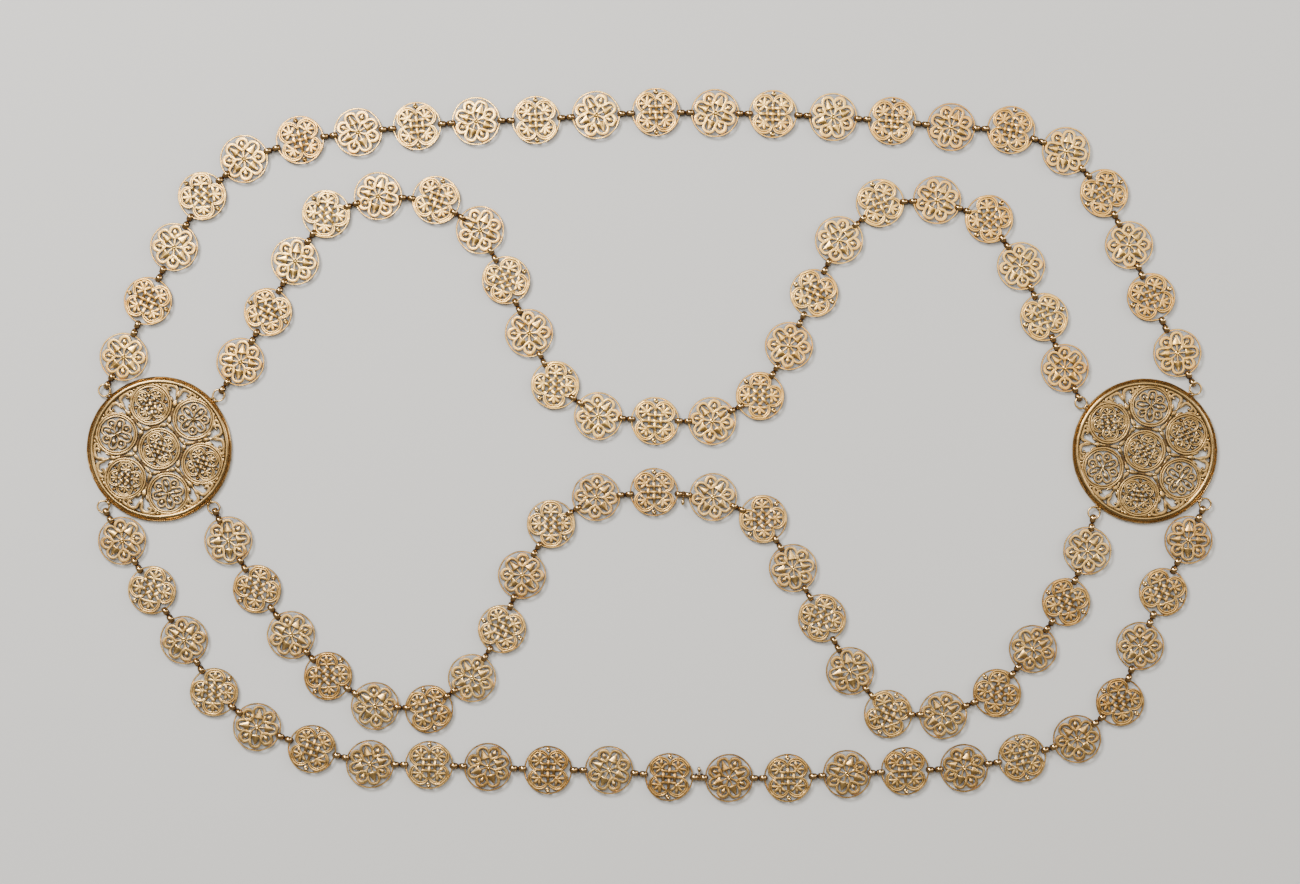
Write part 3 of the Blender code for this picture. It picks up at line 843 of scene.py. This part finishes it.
# The leaves in a sixth of the disc: X runs out between two roundels, and Y pieces come in pairs
def spandrelShapes():
    single = [
        strand([(18.4, 0), (20.5, 0), (22.6, 0)], [1.9, 1.1, 1.7], disc["web"]),  # between two roundels
        strand([(21, 0), (22.4, 0), (23.6, 0)], 0.55, 1.35),
        leaf([(22.6, 0, 0.5), (23.9, 0, 1.1), (25.3, 0, 1.25), (27.2, 0, 0.4)], 1.7),
        leaf([(26.6, 0, 0.5), (28.0, 0, 0.62), (29.4, 0, 0.95), (30.8, 0, 0.9), (32.2, 0, 0.25)], 1.65),
        leaf([(13.4, 0, 0.6), (15, 0, 1.15), (16.6, 0, 1.0), (18.8, 0, 0.3)], 1.5),
        boss((13.6, 0), 1.0, 1.5, False),
    ]
    inner = smoothPath([(29.2, 0.5), (31.0, 0.95), (32.6, 1.2), (33.5, 2.4), (33.7, 4.1), (33.2, 5.7),
                        (31.9, 6.3), (30.9, 5.7), (31.1, 4.7)], 2)
    outer = smoothPath([(33.8, 4.2), (33.5, 6.4), (32.9, 8.1), (31.8, 9.0), (31.0, 8.3)], 2)
    paired = [
        leaf([(24.6, 1.5, 0.35), (25.8, 1.95, 0.55), (27.0, 2.5, 0.72), (28.3, 3.3, 0.2)], 1.4),
        strand(inner, tendril(len(inner), 0.62, 1.08), 1.55),
        boss((31.2, 4.8), 0.8, 1.75, False),
        strand(outer, tendril(len(outer), 0.85, 1.0), 1.5),
        leaf([(28.9, 4.4, 0.3), (29.8, 5.8, 0.75), (30.9, 7.2, 0.85), (31.6, 8.6, 0.4)], 1.3),
        boss((32.2, 10.3), 0.95, 1.8, False),
        leaf([(31.6, 11.2, 0.6), (31.7, 12.4, 1.0), (31.1, 13.9, 0.3)], 1.4),
        leaf([(13.5, 0.35, 0.5), (12.9, 1.35, 1.15), (12.2, 2.6, 1.0), (11.1, 4.5, 0.3)], 1.5),
    ]
    across = [11.85 * toward(30) + step * toward(120) for step in (-2.1, -1, 0, 1, 2.1)]
    web = [strand(across, [1.1, 0.8, 0.65, 0.8, 1.1], disc["web"])]  # from the middle one to the next
    return single + web + paired + [mirrored(one) for one in paired]


def makeDisc(side):
    angle = layout["knotTurns"][side]
    discKnot = joinShapes(knotShapes((0, 90, 180, 270), disc["insideThickness"]))
    discRosette = joinShapes(rosetteShapes(disc["insideThickness"], True))
    circle = disc["ringMiddle"] * toward(np.arange(61) * 6)
    ring = strand(circle, disc["ringWidth"], disc["ringCrest"], "twin", True)
    places = [(0, 0), *(disc["roundelReach"] * toward(angle + 60 * step) for step in range(6))]
    shapes = [copies(ring, places, [0] * len(places))]
    for (points, faces), turns in ((discKnot, disc["knots"]), (discRosette, disc["rosettes"])):
        smaller = (points * disc["inside"], faces)
        shapes.append(copies(smaller, [places[k] for k in turns], [angle + turn for turn in turns.values()]))
    between = joinShapes(spandrelShapes())
    shapes.append(copies(between, [(0, 0)] * 6, [angle + 30 + 60 * step for step in range(6)]))
    openwork = moved(joinShapes(shapes), (0, 0, disc["backHeight"]))
    granule, across = ball(disc["granule"]["radius"]), disc["granule"]["across"]
    lug = joinShapes([
        moved(granule, (disc["lugReach"], across * way, disc["granule"]["up"])) for way in (-1, 1)
    ])
    lugs = copies(lug, [(0, 0)] * len(chains), [chains[chain][side]["ringAngle"] for chain in chains])
    rim = turnedShape(disc["rim"], disc["rimSteps"])
    centre = onPicture(layout["discs"][side]) + shift
    whole = moved(joinShapes([openwork, rim, lugs]), (*centre, 0))
    addPiece("large_disc_" + side + "_openwork", whole, finishes["discShadedGold"], ["large_disc_" + side])


for side in layout["discs"]:
    makeDisc(side)

# ---- wire rings
for (chain, side), centre in ringMiddles.items():
    turn = np.radians(np.arange(wireRings["wireSteps"]) * 360 / wireRings["wireSteps"])
    ring = wireRing(wireRings["radius"], wireRings["wire"], turn, wireRings["steps"])
    name = "ring_" + chain + "_" + side
    addPiece(name + "_wire", moved(ring, (*centre, 0)), finishes["lowerShadedGold"], [name])

# ---- floor, light and camera, in metres
ground = {"halfSize": 4.0, "colour": (0.78, 0.77, 0.75, 1), "roughness": 0.8}
far = ground["halfSize"]
corners = [(-far, -far, 0), (far, -far, 0), (far, far, 0), (-far, far, 0)]
floorMesh = bpy.data.meshes.new("floor")
floorMesh.from_pydata(corners, [], [(0, 1, 2, 3)])
floor = bpy.data.objects.new("floor", floorMesh)
bpy.context.scene.collection.objects.link(floor)
paper = bpy.data.materials.new("paleFloor")
paper.use_nodes = True
paperShader = paper.node_tree.nodes["Principled BSDF"]
paperShader.inputs["Base Color"].default_value = ground["colour"]
paperShader.inputs["Roughness"].default_value = ground["roughness"]
floorMesh.materials.append(paper)

studio = {
    "softbox": {"at": (-0.9, 1.1, 1.5), "size": (0.7, 0.7), "watts": 44},
    "top": {"at": (0, 0.52, 2.5), "size": (2.4, 1.4), "watts": 22, "colour": (1, 0.91, 0.74)},
    "spark": {"at": (-0.35, 0.55, 2.1), "size": (0.2, 0.2), "watts": 8},
    "edge": {"at": (1.5, 0.5, 0.9), "size": (0.5, 1.2), "watts": 9},
}
for name, values in studio.items():
    lamp = bpy.data.lights.new(name, "AREA")
    lamp.shape = "RECTANGLE"
    lamp.size, lamp.size_y = values["size"]
    lamp.energy = values["watts"]
    lamp.color = values.get("colour", (1, 1, 1))
    holder = bpy.data.objects.new(name, lamp)
    holder.location = values["at"]
    away = -np.array(values["at"])
    holder.rotation_euler = (
        math.acos(-away[2] / np.linalg.norm(away)), 0, math.atan2(away[1], away[0]) - math.pi / 2,
    )
    bpy.context.scene.collection.objects.link(holder)

sky = {"colour": (1, 0.98, 0.95, 1), "strength": 0.2}
world = bpy.data.worlds.new("studio")
bpy.context.scene.world = world
world.use_nodes = True
background = world.node_tree.nodes["Background"]
background.inputs["Color"].default_value = sky["colour"]
background.inputs["Strength"].default_value = sky["strength"]

# The lens is such that the picture's whole width shows at the camera's distance over middleHeight
view = {"aim": (650, 442), "distance": 1.6, "frameWidth": 1300, "sensor": 36}
aim = (onPicture(view["aim"]) + shift) / 1000
cameraData = bpy.data.cameras.new("camera")
cameraData.sensor_width = view["sensor"]
cameraData.lens = view["sensor"] * view["distance"] / (view["frameWidth"] * layout["pixel"] / 1000)
camera = bpy.data.objects.new("camera", cameraData)
camera.location = (*aim, view["distance"] + layout["middleHeight"] / 1000)
bpy.context.scene.collection.objects.link(camera)
bpy.context.scene.camera = camera
print("camera lens", round(cameraData.lens, 2))
